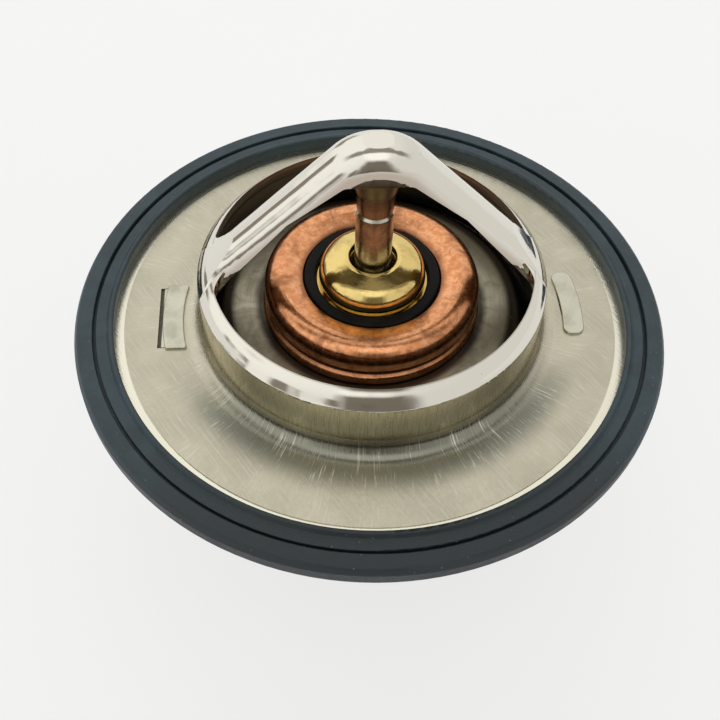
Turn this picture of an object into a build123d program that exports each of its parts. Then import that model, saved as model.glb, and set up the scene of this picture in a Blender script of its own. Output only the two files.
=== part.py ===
"""Wax-element engine thermostat with a drawn bridge, main valve and sprung bypass valve.

Millimetres.  The origin is on the main axis, in the plane of the flange's top face.
+Z points up the bridge, and the bridge's two arms lie along X.
"""

from build123d import *
import math
import os

# ---------------------------------------------------------------- driving dimensions
# Fits
RUNNING_GAP = 0.06          # radial, between the pin and what slides on it
LOOSE_GAP = 0.3             # radial, where the frame steers the wax cup
NESTING_GAP = 0.04          # between pieces that are pushed together
SEAT_GAP = 0.3              # between the valve disc and its seat

# Flange, collar, ring and bridge: one stamping
SHEET = 1.0
RIM_WIDTH = 2.9             # coined band along the flange's edge
RIM_STEP_DROP = 0.15
COLLAR_R = 19.47
COLLAR_HEIGHT = 7.05
COLLAR_ROOT_BEND = 2.0
CREASE_BEND = 0.25
RING_WIDTH = 1.62
RING_RISE = 1.8
APEX_Z = 25.5
APEX_HALF = 2.75            # half the length of the crown between its two corners
APEX_BEND = 6.0
APEX_FLAT = 0.15            # ground off the crown's rounded top
ARM_KNEE_IN = 4.4           # from the collar's outer wall
ARM_KNEE_RISE = 5.9         # above the collar's crease
ARM_HALF_WIDTH = 3.0
ARM_EDGE_BEND = 2.6
ARM_EDGE_BAND = 1.5         # how far below the straight ridge line the long edges lie
ARM_FLARE_IN = 3.67         # from the collar's outer wall to where the arm starts to widen
ARM_FLARE_ANGLE = 31.0
ARM_FLARE_BEND = 3.0
WINDOW_CORNER = 1.3
SKIRT_TOP_R = 3.4
SKIRT_TOP_DEPTH = 3.0       # below the ridge line
SKIRT_TOP_BEND = 1.2
SKIRT_MIDDLE_R = 9.3
SKIRT_MIDDLE_DEPTH = 2.0
SOCKET_R = 2.2
SOCKET_LIP_R = 1.95
SOCKET_LIP_DEPTH = 9.1      # below the apex
SOCKET_ROOF_DEPTH = 2.7
SOCKET_FLARE_DEPTH = 3.5
SOCKET_FLARE_LENGTH = 2.5
SOCKET_LIP_BEND = 0.25

# Slots for the lower frame's tabs
SLOT_GAP = 0.1
SLOT_SLACK = 0.35           # extra room on the outer side of the slot on -X

# Piston pin
PIN_R = 2.03
PIN_NECK_R = 1.35           # inside the socket
PIN_SHOULDER = 0.25
PIN_TIP_R = 1.1
PIN_TIP_LENGTH = 1.5
PIN_END_Z = -13.0

# Rim gasket
GASKET_R = 34.0
GASKET_SKIN = 2.6           # rubber outside the flange's edge
GASKET_GRIP = 1.7           # rubber over the flange's rim
LIP_LEAN = 0.35             # how far the inner lip leans over the flange
LIP_WIDTH = 0.7
LIP_TOP = 2.2
LIP_ROUND = 0.3
MIDDLE_LAND_WIDTH = 1.15
MIDDLE_LAND_TOP = 0.95
GROOVE_WIDTH = 0.35
GROOVE_DEPTH = 0.55
GROOVE_ROUND = 0.12
OUTER_LAND_TOP = 1.1
OUTER_LAND_WIDTH = 1.7
LAND_ROUND = 0.35
GASKET_WALL_TOP = 0.4
GASKET_WALL_BOTTOM = -0.9
GASKET_UNDER = 0.85         # rubber below the flange's underside
UNDER_LAND_WIDTH = 1.1
UNDER_GROOVE_DEPTH = 0.45

# Valve disc
DISC_SHEET = 1.0
DISC_TOP_Z = 2.0
DISC_OVERHANG = 0.83        # beyond the collar's outer wall
DISC_CONE_ANGLE = 45.0
DISC_BEND = 1.6
DISC_HUB_DEPTH = 4.0

# Wax cup
CUP_R = 9.0
CUP_WALL = 0.9
CUP_BOTTOM_Z = -22.0
CUP_CORNER = 1.5
CUP_HEAD_R = 12.15
CUP_HEAD_WALL = 1.55
CUP_HEAD_ROUND = 1.9
CUP_BEAD = 0.2              # how far the bead under the head stands out
CUP_GROOVE = 0.55
CUP_CREST_FLAT = 0.35
CUP_CREST_Z = 6.95
CUP_CREST_ROUND = 2.0
CUP_MOUTH_R = 7.67
CUP_MOUTH_Z = 6.2
CUP_MOUTH_ROUND = 0.35
CUP_LEDGE = 1.0
CUP_BEAD_HEIGHT = 1.0
CUP_GROOVE_RISE = 1.5
CUP_HEAD_RISE = 2.1
CUP_BEAD_ROUND = 0.35

# Stack inside the cup
SLEEVE_FLANGE = 1.2
GUIDE_FLANGE = 1.2
SEAL_THICKNESS = 0.5
SEAL_BEAD = 0.45
GUIDE_TOP_Z = 9.3
GUIDE_MOUTH_R = 2.65
GUIDE_MOUTH_DEPTH = 0.9
GUIDE_LIP = 0.5
GUIDE_LIP_ROUND = 0.15
GUIDE_DOME_R = 6.0
GUIDE_DOME_Z = 6.5
GUIDE_DOME_ROUND = 0.8
GUIDE_SHOULDER_IN = 0.27
GUIDE_SHOULDER_Z = 8.35
GUIDE_SHOULDER_ROUND = 1.9
GUIDE_FOOT_R = 6.3
GUIDE_FOOT_Z = 5.75
GUIDE_FOOT_ROUND = 0.12
GUIDE_NECK_IN = 0.55
GUIDE_SPIGOT_R = 3.6
GUIDE_SPIGOT_DEPTH = 3.2
WASHER_THICKNESS = 1.0
SLEEVE_R = 5.0
SLEEVE_TIP_R = 3.9
SLEEVE_TIP_ROUND = 1.5
SLEEVE_BOTTOM = 1.8
PIN_END_ROOM = 1.5

# Lower frame
FRAME_SHEET = 1.6
LEG_WIDTH = 10.4
TAB_LENGTH = 8.8
TAB_MEAN_R = 23.3
TAB_SPREAD = 0.8            # staked heads: outwards on +X, inwards on -X
TAB_HEAD_LENGTH = 9.6
TAB_HEAD_HEIGHT = 0.3
TAB_HEAD_CORNER = 1.0       # on +X
TAB_SQUARE_CORNER = 0.3     # on -X
LEG_STRAIGHT = 5.0
PLATE_TOP_Z = -19.0
PLATE_R = 16.0
LEG_FOOT_R = 19.2
LEG_BEND = 2.2
HUB_RISE = 2.2

# Main spring
SPRING_WIRE_R = 1.0
SPRING_MEAN_R = 13.2
SPRING_TURNS = 5.0
CLOSED_TURNS = 1            # at each end
CLOSED_TURN_STEP = 1.04     # rise of a closed turn, in wire diameters
END_GRIND = 0.5             # wire ground off each end, in wire radii
POINTS_PER_TURN = 12

# Bypass stem, clip, valve and spring
STEM_FLANGE_R = 4.0
STEM_FLANGE = 1.0
STEM_R = 2.0
STEM_BELOW_CLIP = 0.8
CLIP_R = 3.6
CLIP_THICKNESS = 0.8
CLIP_GROOVE_DEPTH = 0.5
CLIP_MOUTH_SHARE = 0.8
BYPASS_HUB_Z = -33.4
BYPASS_SHEET = 0.9
BYPASS_HUB_R = 5.6
BYPASS_FOOT_R = 9.4
BYPASS_R = 12.2
BYPASS_DISH = 2.3
BYPASS_BEND = 1.0
BYPASS_WIRE_R = 0.55
BYPASS_TURNS = 4.5
BYPASS_COIL_TOP_R = 6.4
BYPASS_COIL_LOW_R = 4.3

# ---------------------------------------------------------------- derived sizes
FLANGE_BOTTOM_Z = -SHEET
FLANGE_EDGE_R = GASKET_R - GASKET_SKIN
RIM_STEP_R = FLANGE_EDGE_R - RIM_WIDTH
GASKET_FOOT_R = FLANGE_EDGE_R - GASKET_GRIP
GASKET_BOTTOM_Z = FLANGE_BOTTOM_Z - GASKET_UNDER
COLLAR_BORE_R = COLLAR_R - SHEET
RING_LIP_R = COLLAR_R - RING_WIDTH
RING_END_R = RING_LIP_R - WINDOW_CORNER
RING_END_Z = COLLAR_HEIGHT + (COLLAR_R - RING_END_R) * RING_RISE / RING_WIDTH
ARM_KNEE_R = COLLAR_R - ARM_KNEE_IN
ARM_KNEE_Z = COLLAR_HEIGHT + ARM_KNEE_RISE
ARM_FLARE_R = COLLAR_R - ARM_FLARE_IN
ROOT_END_R = COLLAR_R + SHEET
CROWN_Z = APEX_Z + APEX_FLAT
ARM_FALL = (CROWN_Z - ARM_KNEE_Z) / (ARM_KNEE_R - APEX_HALF)
ROOT_FALL = ARM_KNEE_RISE / ARM_KNEE_IN
SOCKET_LIP_Z = APEX_Z - SOCKET_LIP_DEPTH
SOCKET_ROOF_Z = APEX_Z - SOCKET_ROOF_DEPTH
SOCKET_FLARE_Z = APEX_Z - SOCKET_FLARE_DEPTH
PIN_BORE_R = PIN_R + RUNNING_GAP
PIN_SHOULDER_Z = SOCKET_LIP_Z - NESTING_GAP
DISC_RIM_R = COLLAR_R + DISC_OVERHANG
CUP_BORE_R = CUP_R - CUP_WALL
CUP_HEAD_BORE_R = CUP_HEAD_R - CUP_HEAD_WALL
CUP_BEAD_R = CUP_HEAD_R + CUP_BEAD
CUP_GROOVE_R = CUP_HEAD_R - CUP_GROOVE
CUP_CREST_R = CUP_HEAD_R - CUP_HEAD_ROUND - CUP_CREST_FLAT
LEDGE_Z = DISC_TOP_Z + CUP_LEDGE
STACK_R = CUP_HEAD_BORE_R - NESTING_GAP
SLEEVE_TOP_Z = LEDGE_Z + SLEEVE_FLANGE
GUIDE_SHELF_Z = SLEEVE_TOP_Z + GUIDE_FLANGE
SEAL_TOP_Z = GUIDE_SHELF_Z + SEAL_THICKNESS
SPIGOT_END_Z = SLEEVE_TOP_Z - GUIDE_SPIGOT_DEPTH
WASHER_LOW_Z = SPIGOT_END_Z - WASHER_THICKNESS
SLEEVE_BORE_END_Z = PIN_END_Z - PIN_END_ROOM
SLEEVE_END_Z = SLEEVE_BORE_END_Z - SLEEVE_BOTTOM
PLATE_BOTTOM_Z = PLATE_TOP_Z - FRAME_SHEET
STEM_SEAT_Z = CUP_BOTTOM_Z
BYPASS_UNDER_Z = BYPASS_HUB_Z - BYPASS_SHEET
CLIP_LOW_Z = BYPASS_UNDER_Z - CLIP_THICKNESS
STEM_END_Z = CLIP_LOW_Z - STEM_BELOW_CLIP


# ---------------------------------------------------------------- shared helpers
def lathe(outline):
    """Turned or drawn solid from a closed (radius, height) outline."""
    return revolve(make_face(Plane.XZ * outline), Axis.Z)


def rounded(corners):
    """Closed outline from (x, z, corner radius) triples."""
    points = [(x, z) for x, z, _ in corners]
    return FilletPolyline(*points, radius=[bend for _, _, bend in corners], close=True)


def sheet_back(skin, thickness):
    """Far side of a bent sheet, whose skin is (x, z, bend radius) and which lies on the skin's left."""
    points = [Vector(x, z) for x, z, _ in skin]
    steps = [(b - a).normalized() for a, b in zip(points, points[1:])]
    normals = [Vector(-step.Y, step.X) for step in steps]
    back = []
    for index, (point, (_, _, bend)) in enumerate(zip(points, skin)):
        before = normals[max(index - 1, 0)]
        after = normals[min(index, len(normals) - 1)]
        place = point + (before + after) * (thickness / (1 + before.dot(after)))
        turn = before.cross(after).Z
        far_bend = bend - thickness if turn > 0 else bend + thickness
        back.append((place.X, place.Y, max(far_bend, 0) if bend else 0))
    return back


def sheet_outline(skin, thickness):
    """Closed outline of a bent sheet that lies on the left of its skin."""
    return rounded(list(skin) + sheet_back(skin, thickness)[::-1])


def mirrored(half):
    """A whole skin from its +X half, listed from the middle outwards."""
    return [(-x, z, bend) for x, z, bend in half[::-1]] + list(half)


def ring_disc(outer, inner, low, high):
    """Flat washer between two heights."""
    blank = Cylinder(outer, high - low, align=(Align.CENTER, Align.CENTER, Align.MIN))
    hole = Cylinder(inner, high - low, align=(Align.CENTER, Align.CENTER, Align.MIN))
    return Pos(0, 0, low) * (blank - hole)


def coil(wire_r, top, low, top_mean_r, low_mean_r, turns):
    """Helical spring with closed end turns, ground flat at both ends."""
    free_turns = turns - 2 * CLOSED_TURNS
    start_z = low + wire_r * END_GRIND
    closed_rise = 2 * wire_r * CLOSED_TURNS * CLOSED_TURN_STEP
    free_rise = top - low - 2 * wire_r * END_GRIND - 2 * closed_rise
    points = []
    for index in range(int(turns * POINTS_PER_TURN) + 1):
        turn = index / POINTS_PER_TURN
        low_share = min(turn / CLOSED_TURNS, 1)
        free_share = min(max((turn - CLOSED_TURNS) / free_turns, 0), 1)
        high_share = max((turn - CLOSED_TURNS - free_turns) / CLOSED_TURNS, 0)
        z = start_z + closed_rise * (low_share + high_share) + free_rise * free_share
        radius = low_mean_r + (top_mean_r - low_mean_r) * turn / turns
        angle = 2 * math.pi * turn
        points.append((radius * math.cos(angle), radius * math.sin(angle), z))
    path = Spline(*points)
    section = Plane(origin=path @ 0, z_dir=path % 0) * Circle(wire_r)
    spring = sweep(section, path=path, is_frenet=False)
    reach = 4 * max(top_mean_r, low_mean_r)
    slab = Box(reach, reach, top - low, align=(Align.CENTER, Align.CENTER, Align.MIN))
    return spring & Pos(0, 0, low) * slab


# ---------------------------------------------------------------- fixed pieces
def ring_skin():
    """Outer skin of flange, collar and ring, from the rim inwards, before the windows are cut."""
    return [
        (FLANGE_EDGE_R, 0, 0),
        (COLLAR_R, 0, COLLAR_ROOT_BEND),
        (COLLAR_R, COLLAR_HEIGHT, CREASE_BEND),
        (RING_END_R, RING_END_Z, 0),
    ]


def ridge_height(radius):
    """Height of the arm's straight ridge line."""
    return CROWN_Z - (radius - APEX_HALF) * ARM_FALL


def root_height(radius):
    """Height of the cone on which the arms come down to the collar."""
    return COLLAR_HEIGHT + (COLLAR_R - radius) * ROOT_FALL


def arm_plan(inset):
    """Plan of both arms, widening towards the collar, drawn in on every side by inset."""
    arm = ARM_HALF_WIDTH - inset
    root = arm + (ROOT_END_R - ARM_FLARE_R) * math.tan(math.radians(ARM_FLARE_ANGLE))
    right = [(ARM_FLARE_R, arm), (ROOT_END_R, root), (ROOT_END_R, -root), (ARM_FLARE_R, -arm)]
    left = [(-x, -y) for x, y in right]
    bends = [ARM_FLARE_BEND, 0, 0, ARM_FLARE_BEND] * 2
    return make_face(FilletPolyline(*right, *left, radius=bends, close=True))


def skirt_line():
    """Right half of the skirts' lower edge, from the socket to the collar."""
    return [
        (SKIRT_TOP_R, ridge_height(SKIRT_TOP_R) - SKIRT_TOP_DEPTH, SKIRT_TOP_BEND),
        (SKIRT_MIDDLE_R, ridge_height(SKIRT_MIDDLE_R) - SKIRT_MIDDLE_DEPTH, 0),
        (COLLAR_BORE_R, COLLAR_HEIGHT - SHEET, 0),
        (ROOT_END_R, 0, 0),
    ]


def ridge_edges(bar):
    """The long edges between a bar's top and its sides."""
    found = ShapeList()
    for edge in bar.edges():
        middle = edge.center()
        ridge_z = min(CROWN_Z, ridge_height(abs(middle.X)))
        if abs(middle.Y) > SHEET and middle.Z > ridge_z - ARM_EDGE_BAND:
            found.append(edge)
    return found


def root_cone(inset):
    """Bell whose cone both arms come down on, drawn in by inset."""
    drop = inset * math.hypot(1, ROOT_FALL)
    return Rot(0, 0, 90) * lathe(Polyline(
        (0, 0),
        (COLLAR_R - inset, 0),
        (COLLAR_R - inset, root_height(COLLAR_R - inset) - drop),
        (0, root_height(0) - drop),
        close=True,
    ))


def arm_bar(inset):
    """Solid bar under the bridge's skin, drawn in by inset, with rounded long edges."""
    ridge = mirrored([(APEX_HALF, CROWN_Z, APEX_BEND), (ROOT_END_R, ridge_height(ROOT_END_R), 0)])
    if inset:
        ridge = sheet_back(ridge, -inset)
    base = [(ROOT_END_R, 0, 0), (-ROOT_END_R, 0, 0)]
    side_view = make_face(Plane.XZ * rounded(ridge + base))
    bar = extrude(side_view, COLLAR_R, both=True) & extrude(arm_plan(inset), 2 * APEX_Z)
    bar = fillet(ridge_edges(bar), ARM_EDGE_BEND - inset)
    return bar & root_cone(inset)


def above_skirts():
    """Block over the skirts' lower edge, as high as the flat at the apex."""
    top = [(ROOT_END_R, APEX_Z, 0), (-ROOT_END_R, APEX_Z, 0)]
    return extrude(make_face(Plane.XZ * rounded(mirrored(skirt_line()) + top)), COLLAR_R, both=True)


def socket():
    """Drawn tube under the apex that takes the head of the pin."""
    return lathe(rounded([
        (0, SOCKET_LIP_Z, 0),
        (SOCKET_LIP_R, SOCKET_LIP_Z, SOCKET_LIP_BEND),
        (SOCKET_R, SOCKET_FLARE_Z - SOCKET_FLARE_LENGTH, SOCKET_FLARE_LENGTH),
        (ARM_HALF_WIDTH, SOCKET_FLARE_Z, 0),
        (SOCKET_R, APEX_Z - SHEET - ARM_EDGE_BEND, 0),
        (0, APEX_Z - SHEET / 2, 0),
    ]))


def windows():
    """Both openings beside the arms, as tall blocks with rounded corners at the ring's lip."""
    plan = Circle(RING_LIP_R) - arm_plan(SHEET / 2)
    lip_r = RING_LIP_R - NESTING_GAP
    corners = [point for point in plan.vertices() if math.hypot(point.X, point.Y) > lip_r]
    return extrude(fillet(corners, WINDOW_CORNER), 2 * APEX_Z)


def tab_slot(side):
    """Slot through the flange for one leg's tab; the slot on -X is wider on its outer side."""
    slack = SLOT_SLACK if side < 0 else 0
    width = FRAME_SHEET + 2 * SLOT_GAP + slack
    place = Pos(side * (TAB_MEAN_R + slack / 2), 0, 0)
    return place * Box(width, TAB_LENGTH + 2 * SLOT_GAP, 4 * SHEET)


def flange_and_bridge():
    """The stamping: flange with coined rim, collar, ring, bridge channel and socket."""
    body = lathe(sheet_outline(ring_skin(), SHEET))
    body -= ring_disc(FLANGE_EDGE_R + SHEET, RIM_STEP_R, -RIM_STEP_DROP, SHEET)
    body -= windows()
    body += (arm_bar(0) & above_skirts()) - arm_bar(SHEET)
    body += socket()
    neck = Cylinder(PIN_NECK_R + NESTING_GAP, SOCKET_LIP_DEPTH, align=(Align.CENTER, Align.CENTER, Align.MAX))
    body -= Pos(0, 0, SOCKET_ROOF_Z) * neck
    for side in (-1, 1):
        body -= tab_slot(side)
    return body


def rim_gasket():
    """Moulded rubber ring, slotted over the flange's edge: an inner lip and two lands with a groove."""
    lip_r = GASKET_FOOT_R + LIP_WIDTH
    groove_in = lip_r + MIDDLE_LAND_WIDTH
    groove_out = groove_in + GROOVE_WIDTH
    shoulder_r = groove_out + OUTER_LAND_WIDTH
    floor_z = MIDDLE_LAND_TOP - GROOVE_DEPTH
    slot_r = FLANGE_EDGE_R + NESTING_GAP
    return lathe(rounded([
        (GASKET_FOOT_R, -RIM_STEP_DROP, 0),
        (GASKET_FOOT_R - LIP_LEAN, LIP_TOP, LIP_ROUND),
        (lip_r, MIDDLE_LAND_TOP, LAND_ROUND),
        (groove_in, MIDDLE_LAND_TOP, GROOVE_ROUND),
        (groove_in, floor_z, 0),
        (groove_out, floor_z, 0),
        (groove_out, OUTER_LAND_TOP, GROOVE_ROUND),
        (shoulder_r, OUTER_LAND_TOP, LAND_ROUND),
        (GASKET_R, GASKET_WALL_TOP, LAND_ROUND),
        (GASKET_R, GASKET_WALL_BOTTOM, LAND_ROUND),
        (shoulder_r, GASKET_BOTTOM_Z, LAND_ROUND),
        (shoulder_r - UNDER_LAND_WIDTH, GASKET_BOTTOM_Z, GROOVE_ROUND),
        (shoulder_r - UNDER_LAND_WIDTH, GASKET_BOTTOM_Z + UNDER_GROOVE_DEPTH, 0),
        (GASKET_FOOT_R + UNDER_LAND_WIDTH, GASKET_BOTTOM_Z + UNDER_GROOVE_DEPTH, 0),
        (GASKET_FOOT_R + UNDER_LAND_WIDTH, GASKET_BOTTOM_Z, GROOVE_ROUND),
        (GASKET_FOOT_R, GASKET_BOTTOM_Z, LAND_ROUND),
        (GASKET_FOOT_R, FLANGE_BOTTOM_Z, 0),
        (slot_r, FLANGE_BOTTOM_Z, 0),
        (slot_r, -RIM_STEP_DROP, 0),
    ]))


def piston_pin():
    """Ground pin with a necked head held in the socket, a chamfered shoulder and a tapered lower end."""
    return lathe(Polyline(
        (0, PIN_END_Z),
        (PIN_TIP_R, PIN_END_Z),
        (PIN_R, PIN_END_Z + PIN_TIP_LENGTH),
        (PIN_R, PIN_SHOULDER_Z - PIN_SHOULDER),
        (PIN_R - PIN_SHOULDER, PIN_SHOULDER_Z),
        (PIN_NECK_R, PIN_SHOULDER_Z),
        (PIN_NECK_R, SOCKET_ROOF_Z),
        (0, SOCKET_ROOF_Z),
        close=True,
    ))


def tab_head(side):
    """Staked end of one tab, an arc on top of the flange: square on -X, rounded on +X."""
    width = FRAME_SHEET + TAB_SPREAD
    middle_r = TAB_MEAN_R + side * TAB_SPREAD / 2
    band = Circle(middle_r + width / 2) - Circle(middle_r - width / 2)
    plan = band & Pos(side * middle_r, 0) * Rectangle(2 * width, TAB_HEAD_LENGTH)
    plan = fillet(plan.vertices(), TAB_SQUARE_CORNER if side < 0 else TAB_HEAD_CORNER)
    head = extrude(plan, TAB_HEAD_HEIGHT)
    return fillet(head.edges().group_by(Axis.Z)[-1], TAB_HEAD_HEIGHT / 2)


def lower_frame():
    """Bent stirrup: two tabs, two legs and the guide plate with its raised hub."""
    hub_r = CUP_R + LOOSE_GAP
    leg_skin = TAB_MEAN_R + FRAME_SHEET / 2
    skin = mirrored([
        (LEG_FOOT_R, PLATE_BOTTOM_Z, LEG_BEND),
        (leg_skin, -LEG_STRAIGHT, LEG_BEND),
        (leg_skin, 0, 0),
    ])
    strip = extrude(make_face(Plane.XZ * sheet_outline(skin, FRAME_SHEET)), LEG_WIDTH / 2, both=True)
    blank = Box(2 * GASKET_R, LEG_WIDTH, SHEET, align=(Align.CENTER, Align.CENTER, Align.MAX))
    tongue = Box(2 * GASKET_R, TAB_LENGTH, SHEET, align=(Align.CENTER, Align.CENTER, Align.MAX))
    strip -= blank - tongue
    strip -= Pos(0, 0, PLATE_TOP_Z) * Cylinder(hub_r + LEG_BEND, 4 * FRAME_SHEET)
    plate = lathe(sheet_outline([
        (hub_r, PLATE_TOP_Z + HUB_RISE, 0),
        (hub_r, PLATE_BOTTOM_Z, LEG_BEND),
        (PLATE_R, PLATE_BOTTOM_Z, 0),
    ], FRAME_SHEET))
    return strip + plate + tab_head(-1) + tab_head(1)


# ---------------------------------------------------------------- valve pieces
def disc_cone(height):
    """Radius of the valve disc's conical skin at a height, clear of the seat by the seat gap."""
    angle = math.radians(DISC_CONE_ANGLE)
    across = math.sin(angle)
    along = math.cos(angle)
    seat_r = COLLAR_R + COLLAR_ROOT_BEND
    reach = COLLAR_ROOT_BEND + SHEET + SEAT_GAP
    return (across * seat_r + along * COLLAR_ROOT_BEND - reach - along * height) / across


def valve_disc():
    """Drawn disc: hub round the cup, flat top, conical seating face."""
    rim_z = DISC_TOP_Z - (DISC_RIM_R - disc_cone(DISC_TOP_Z)) * math.tan(math.radians(DISC_CONE_ANGLE))
    hub_r = CUP_R + NESTING_GAP
    return lathe(sheet_outline([
        (DISC_RIM_R, rim_z, 0),
        (disc_cone(DISC_TOP_Z), DISC_TOP_Z, DISC_BEND),
        (hub_r, DISC_TOP_Z, 0),
        (hub_r, DISC_TOP_Z - DISC_HUB_DEPTH, 0),
    ], DISC_SHEET))


def wax_cup():
    """Drawn copper cup whose head is rolled over the guide."""
    return lathe(rounded([
        (0, CUP_BOTTOM_Z, 0),
        (CUP_R, CUP_BOTTOM_Z, CUP_CORNER),
        (CUP_R, DISC_TOP_Z, 0),
        (CUP_BEAD_R, DISC_TOP_Z, CUP_BEAD_ROUND),
        (CUP_BEAD_R, DISC_TOP_Z + CUP_BEAD_HEIGHT, CUP_BEAD_ROUND),
        (CUP_GROOVE_R, DISC_TOP_Z + CUP_GROOVE_RISE, CUP_BEAD_ROUND),
        (CUP_HEAD_R, DISC_TOP_Z + CUP_HEAD_RISE, CUP_BEAD_ROUND),
        (CUP_HEAD_R, CUP_CREST_Z, CUP_HEAD_ROUND),
        (CUP_CREST_R, CUP_CREST_Z, CUP_CREST_ROUND),
        (CUP_MOUTH_R, CUP_MOUTH_Z, CUP_MOUTH_ROUND),
        (CUP_MOUTH_R, SEAL_TOP_Z, 0),
        (CUP_HEAD_BORE_R, SEAL_TOP_Z, 0),
        (CUP_HEAD_BORE_R, LEDGE_Z, 0),
        (CUP_BORE_R, LEDGE_Z, 0),
        (CUP_BORE_R, CUP_BOTTOM_Z + CUP_WALL, CUP_CORNER - CUP_WALL),
        (0, CUP_BOTTOM_Z + CUP_WALL, 0),
    ]))


def brass_guide():
    """Domed guide with its clamped flange, spigot and pin bore."""
    mouth_z = GUIDE_TOP_Z - GUIDE_MOUTH_DEPTH
    return lathe(rounded([
        (PIN_BORE_R, SPIGOT_END_Z, 0),
        (GUIDE_SPIGOT_R, SPIGOT_END_Z, 0),
        (GUIDE_SPIGOT_R, SLEEVE_TOP_Z, 0),
        (STACK_R, SLEEVE_TOP_Z, 0),
        (STACK_R, GUIDE_SHELF_Z, 0),
        (GUIDE_FOOT_R, GUIDE_SHELF_Z, 0),
        (GUIDE_FOOT_R, GUIDE_FOOT_Z, GUIDE_FOOT_ROUND),
        (GUIDE_FOOT_R - GUIDE_NECK_IN, GUIDE_FOOT_Z, 0),
        (GUIDE_DOME_R, GUIDE_DOME_Z, GUIDE_DOME_ROUND),
        (GUIDE_DOME_R - GUIDE_SHOULDER_IN, GUIDE_SHOULDER_Z, GUIDE_SHOULDER_ROUND),
        (GUIDE_MOUTH_R + GUIDE_LIP, GUIDE_TOP_Z, GUIDE_LIP),
        (GUIDE_MOUTH_R, GUIDE_TOP_Z, GUIDE_LIP_ROUND),
        (GUIDE_MOUTH_R, mouth_z, 0),
        (PIN_BORE_R, mouth_z - GUIDE_LIP, 0),
    ]))


def seal_ring():
    """Rubber ring between the guide's flange and the rolled copper, with a raised inner bead."""
    bead_z = SEAL_TOP_Z + SEAL_BEAD
    bead_in = GUIDE_FOOT_R + NESTING_GAP
    bead_out = CUP_MOUTH_R - NESTING_GAP
    return lathe(rounded([
        (bead_in, GUIDE_SHELF_Z, 0),
        (STACK_R, GUIDE_SHELF_Z, 0),
        (STACK_R, SEAL_TOP_Z, 0),
        (bead_out, SEAL_TOP_Z, 0),
        (bead_out, bead_z, SEAL_BEAD / 2),
        (bead_in, bead_z, SEAL_BEAD / 2),
    ]))


def backup_washer():
    """Plastic washer that keeps the sleeve from creeping up the pin."""
    return ring_disc(GUIDE_SPIGOT_R, PIN_BORE_R, WASHER_LOW_Z, SPIGOT_END_Z)


def rubber_sleeve():
    """Closed rubber boot round the pin, clamped by its flange."""
    pocket_r = GUIDE_SPIGOT_R + NESTING_GAP
    return lathe(rounded([
        (0, SLEEVE_END_Z, 0),
        (SLEEVE_TIP_R, SLEEVE_END_Z, SLEEVE_TIP_ROUND),
        (SLEEVE_R, LEDGE_Z, 0),
        (STACK_R, LEDGE_Z, 0),
        (STACK_R, SLEEVE_TOP_Z, 0),
        (pocket_r, SLEEVE_TOP_Z, 0),
        (pocket_r, WASHER_LOW_Z, 0),
        (PIN_BORE_R, WASHER_LOW_Z, 0),
        (PIN_BORE_R, SLEEVE_BORE_END_Z, 0),
        (0, SLEEVE_BORE_END_Z, 0),
    ]))


def wax_charge():
    """Wax that fills the cup round the sleeve."""
    low = CUP_BOTTOM_Z + CUP_WALL + NESTING_GAP
    outer = CUP_BORE_R - NESTING_GAP
    return lathe(rounded([
        (0, low, 0),
        (outer, low, CUP_CORNER - CUP_WALL),
        (outer, LEDGE_Z - NESTING_GAP, 0),
        (SLEEVE_R + NESTING_GAP, LEDGE_Z - NESTING_GAP, 0),
        (SLEEVE_TIP_R + NESTING_GAP, SLEEVE_END_Z - NESTING_GAP, SLEEVE_TIP_ROUND),
        (0, SLEEVE_END_Z - NESTING_GAP, 0),
    ]))


def bypass_stem():
    """Turned stem with a seat flange above and a clip groove near its end."""
    groove_r = STEM_R - CLIP_GROOVE_DEPTH
    return lathe(rounded([
        (0, STEM_SEAT_Z, 0),
        (STEM_FLANGE_R, STEM_SEAT_Z, 0),
        (STEM_FLANGE_R, STEM_SEAT_Z - STEM_FLANGE, STEM_FLANGE / 4),
        (STEM_R, STEM_SEAT_Z - STEM_FLANGE, 0),
        (STEM_R, BYPASS_UNDER_Z, 0),
        (groove_r, BYPASS_UNDER_Z, 0),
        (groove_r, CLIP_LOW_Z, 0),
        (STEM_R, CLIP_LOW_Z, 0),
        (STEM_R, STEM_END_Z, STEM_R / 5),
        (0, STEM_END_Z, 0),
    ]))


def stem_clip():
    """Open retaining ring in the stem's groove."""
    inner = STEM_R - CLIP_GROOVE_DEPTH + NESTING_GAP
    ring = ring_disc(CLIP_R, inner, CLIP_LOW_Z, BYPASS_UNDER_Z)
    width = 2 * inner * CLIP_MOUTH_SHARE
    mouth = Box(CLIP_R, width, CLIP_THICKNESS, align=(Align.MIN, Align.CENTER, Align.MIN))
    return ring - Pos(0, 0, CLIP_LOW_Z) * mouth


def bypass_disc():
    """Dished valve that slides on the stem and closes on its flat rim."""
    return lathe(sheet_outline([
        (BYPASS_R, BYPASS_HUB_Z - BYPASS_DISH, 0),
        (BYPASS_FOOT_R, BYPASS_HUB_Z - BYPASS_DISH, BYPASS_BEND),
        (BYPASS_HUB_R, BYPASS_HUB_Z, BYPASS_BEND),
        (STEM_R + RUNNING_GAP, BYPASS_HUB_Z, 0),
    ], BYPASS_SHEET))


def main_spring():
    """Spring between the valve disc and the lower frame's plate."""
    return coil(
        SPRING_WIRE_R, DISC_TOP_Z - DISC_SHEET, PLATE_TOP_Z, SPRING_MEAN_R, SPRING_MEAN_R, SPRING_TURNS
    )


def bypass_spring():
    """Conical spring between the cup's bottom and the bypass valve."""
    return coil(
        BYPASS_WIRE_R, CUP_BOTTOM_Z, BYPASS_HUB_Z, BYPASS_COIL_TOP_R, BYPASS_COIL_LOW_R, BYPASS_TURNS
    )


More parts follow.
